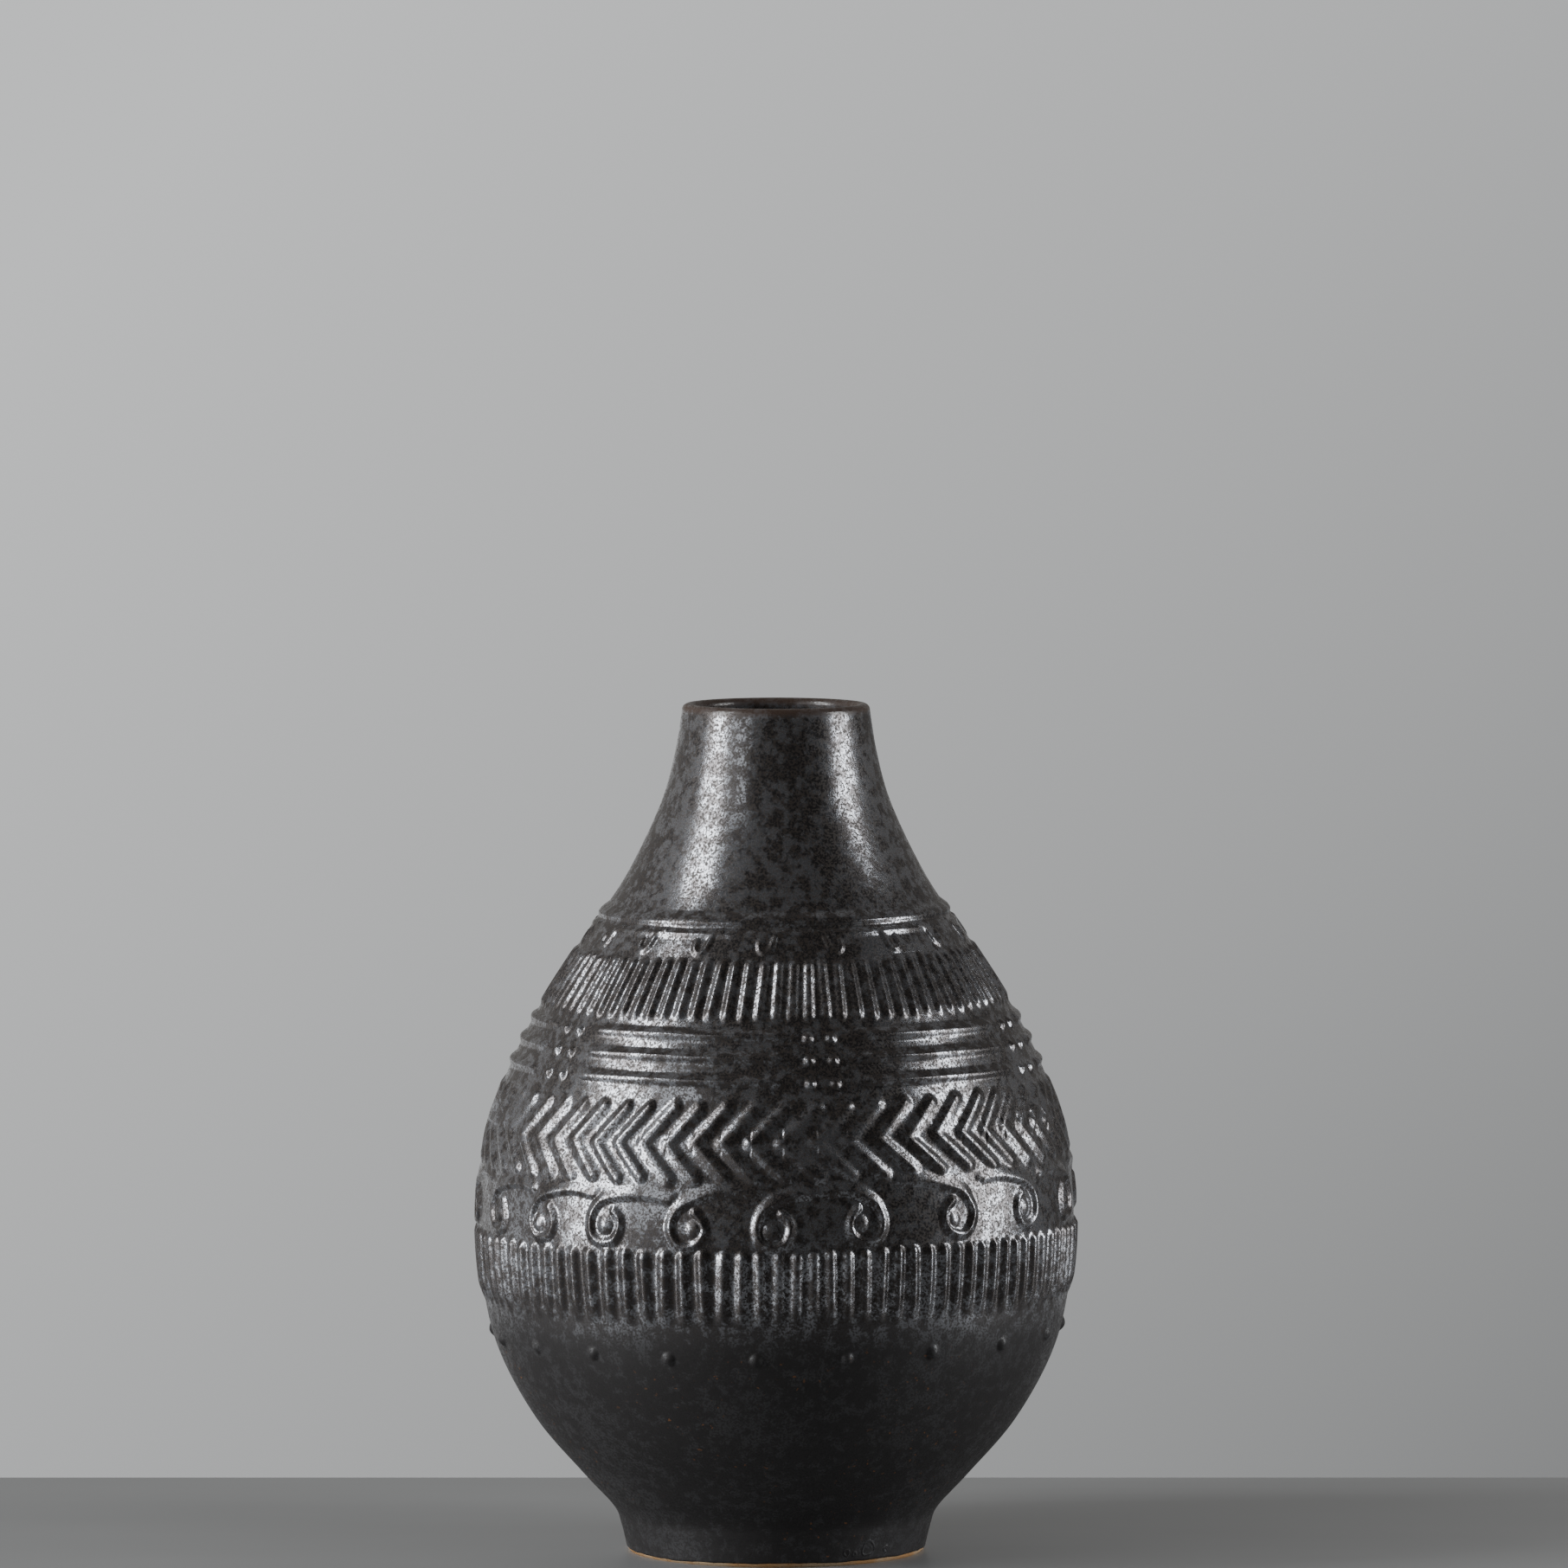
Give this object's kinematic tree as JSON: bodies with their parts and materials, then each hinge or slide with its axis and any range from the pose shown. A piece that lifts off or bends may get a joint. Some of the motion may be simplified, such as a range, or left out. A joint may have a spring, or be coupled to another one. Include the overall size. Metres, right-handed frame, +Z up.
{
  "type": "ceramic vase",
  "caption": "Free-standing stoneware vase with a narrow open neck, a wide belly with raised ornament bands, and a turned foot ring.",
  "frame": {"origin": "centre of the foot's underside, on the surface that the vase stands on", "axes": "+Z up along the vase's axis, -Y towards the front of the ornament"},
  "size_m": [0.2416, 0.2418, 0.34],
  "materials": {
    "black_glaze": "satin black glaze with a mottled metallic sheen",
    "bare_stoneware": "unglazed fired clay, matt"
  },
  "bodies": {
    "root": {"foot_ring": "bare_stoneware", "lower_body": "black_glaze", "upper_body": "black_glaze", "neck": "black_glaze", "lower_rib_strip": "black_glaze", "chevron_strip": "black_glaze", "line_and_dot_strip": "black_glaze", "upper_rib_strip": "black_glaze", "hook_strip": "black_glaze", "scroll_01": "black_glaze", "scroll_02": "black_glaze", "scroll_03": "black_glaze", "scroll_04": "black_glaze", "scroll_05": "black_glaze", "scroll_06": "black_glaze", "scroll_07": "black_glaze", "scroll_08": "black_glaze", "scroll_09": "black_glaze", "scroll_10": "black_glaze", "scroll_11": "black_glaze", "scroll_12": "black_glaze", "scroll_13": "black_glaze", "scroll_14": "black_glaze", "scroll_15": "black_glaze", "scroll_16": "black_glaze", "scroll_17": "black_glaze", "scroll_18": "black_glaze", "scroll_19": "black_glaze", "scroll_20": "black_glaze", "dot_01": "black_glaze", "dot_02": "black_glaze", "dot_03": "black_glaze", "dot_04": "black_glaze", "dot_05": "black_glaze", "dot_06": "black_glaze", "dot_07": "black_glaze", "dot_08": "black_glaze", "dot_09": "black_glaze", "dot_10": "black_glaze", "dot_11": "black_glaze", "dot_12": "black_glaze", "dot_13": "black_glaze", "dot_14": "black_glaze", "dot_15": "black_glaze", "dot_16": "black_glaze", "dot_17": "black_glaze", "dot_18": "black_glaze", "dot_19": "black_glaze", "dot_20": "black_glaze"}
  },
  "joints": []
}
